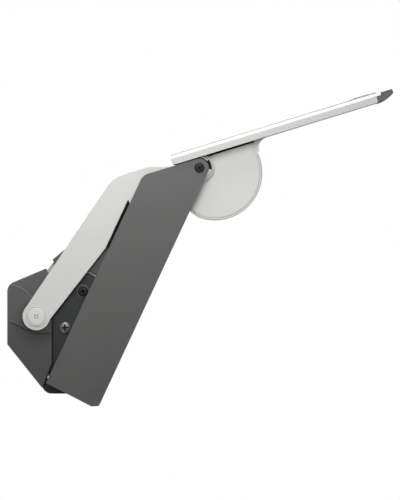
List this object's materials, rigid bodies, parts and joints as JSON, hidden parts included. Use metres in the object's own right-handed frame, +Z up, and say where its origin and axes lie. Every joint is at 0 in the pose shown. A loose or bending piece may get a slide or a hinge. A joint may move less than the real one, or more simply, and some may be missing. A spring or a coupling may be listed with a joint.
{
  "type": "document camera",
  "caption": "Wall-mounted folding-arm document camera: dark arm and light link carry a knuckle and a slim tilting head with light strip and lens.",
  "frame": {"origin": "centre of the flat rear face, on the wall, midway between the four wall screws", "axes": "+X away from the wall, +Y across the arm, +Z up"},
  "size_m": [0.3863, 0.068, 0.3176],
  "materials": {
    "dark_shell": "fine moulded grain",
    "dark_panel": "matt powder coat",
    "light_paint": "satin paint",
    "light_plastic": "fine moulded satin",
    "white_cover": "satin gloss",
    "grey_plate": "fine matt",
    "black_steel": "black satin coat",
    "black_screw": "black oxide",
    "grey_screw": "dull zinc",
    "steel": "turned",
    "bronze": "sintered",
    "tip_plastic": "fine matt",
    "key_plastic": "fine matt",
    "rubber_black": "matt",
    "board": "solder mask",
    "socket_plastic": "moulded",
    "diffuser": "frosted",
    "cable": "flat cable",
    "lens_glass": "coated"
  },
  "bodies": {
    "base": {"wall_plate": "steel", "base_upper_shell": "dark_shell", "base_lower_shell": "dark_shell", "bracket_left": "black_steel", "bracket_right": "black_steel", "bracket_bridge": "black_steel", "bottom_cover": "black_steel", "pivot_shaft": "steel", "arm_pivot_screws": "black_screw", "bracket_screws": "grey_screw", "link_pins": "steel", "link_pivot_caps": "light_paint", "connector_board": "board", "usb_socket": "steel", "power_socket": "socket_plastic", "shell_screws": "black_screw"},
    "arm": {"arm_hub": "light_paint", "hub_housing": "dark_shell", "hub_bushes": "bronze", "friction_washers": "steel", "lift_spring": "steel", "arm_spine": "black_steel", "arm_panel_left": "dark_panel", "arm_panel_right": "dark_panel", "front_cover": "dark_panel", "bottom_cap": "dark_shell", "hub_screws": "steel", "panel_screws": "steel", "signal_cable": "cable"},
    "link": {"link_left": "light_paint", "link_right": "light_paint", "link_cover": "light_paint", "link_bushes": "bronze"},
    "carrier": {"carrier_left": "light_paint", "carrier_right": "light_paint", "tilt_shaft": "steel", "link_studs": "steel", "pivot_spacers": "rubber_black", "head_pivot_screws": "black_screw"},
    "head": {"knuckle_core": "light_plastic", "knuckle_cheek_left": "light_plastic", "knuckle_cheek_right": "light_plastic", "tilt_bushes": "bronze", "friction_discs": "steel", "head_tray": "light_plastic", "rear_end_cap": "light_plastic", "head_cover": "white_cover", "top_plate": "grey_plate", "light_board": "board", "light_diffuser": "diffuser", "tip_housing": "tip_plastic", "lens_barrel": "socket_plastic", "lens_window": "lens_glass", "camera_board": "board", "key_board": "board", "key_bezel": "key_plastic", "head_screws": "steel"},
    "button_left_body": {"button_left": "key_plastic"},
    "button_middle_body": {"button_middle": "key_plastic"},
    "button_right_body": {"button_right": "key_plastic"}
  },
  "joints": [
    {"name": "arm_lift", "type": "hinge", "parent": "base", "child": "arm", "pos_m": [0.0759, 0, 0.0266], "axis": [0, -1, 0], "range_deg": [0, 15]},
    {"name": "link_swing", "type": "hinge", "parent": "base", "child": "link", "pos_m": [0.0292, 0, 0.0015], "axis": [0, -1, 0], "range_deg": [0, 15]},
    {"name": "carrier_level", "type": "hinge", "parent": "arm", "child": "carrier", "pos_m": [0.19242, 0, 0.15025], "axis": [0, -1, 0], "range_deg": [-15, 0]},
    {"name": "head_tilt", "type": "hinge", "parent": "carrier", "child": "head", "pos_m": [0.19242, 0, 0.15025], "axis": [0, -1, 0], "range_deg": [-107, 0]},
    {"name": "button_left_press", "type": "slide", "parent": "head", "child": "button_left_body", "axis": [0.2924, 0, -0.9563], "range_m": [0, 0.0006], "stiffness_N_per_m": 900, "springref_m": -0.0006},
    {"name": "button_middle_press", "type": "slide", "parent": "head", "child": "button_middle_body", "axis": [0.2924, 0, -0.9563], "range_m": [0, 0.0006], "stiffness_N_per_m": 900, "springref_m": -0.0006},
    {"name": "button_right_press", "type": "slide", "parent": "head", "child": "button_right_body", "axis": [0.2924, 0, -0.9563], "range_m": [0, 0.0006], "stiffness_N_per_m": 900, "springref_m": -0.0006}
  ],
  "couplings": [
    {"joint": "link_swing", "follows": "arm_lift", "ratio": 1},
    {"joint": "carrier_level", "follows": "arm_lift", "ratio": -1}
  ]
}
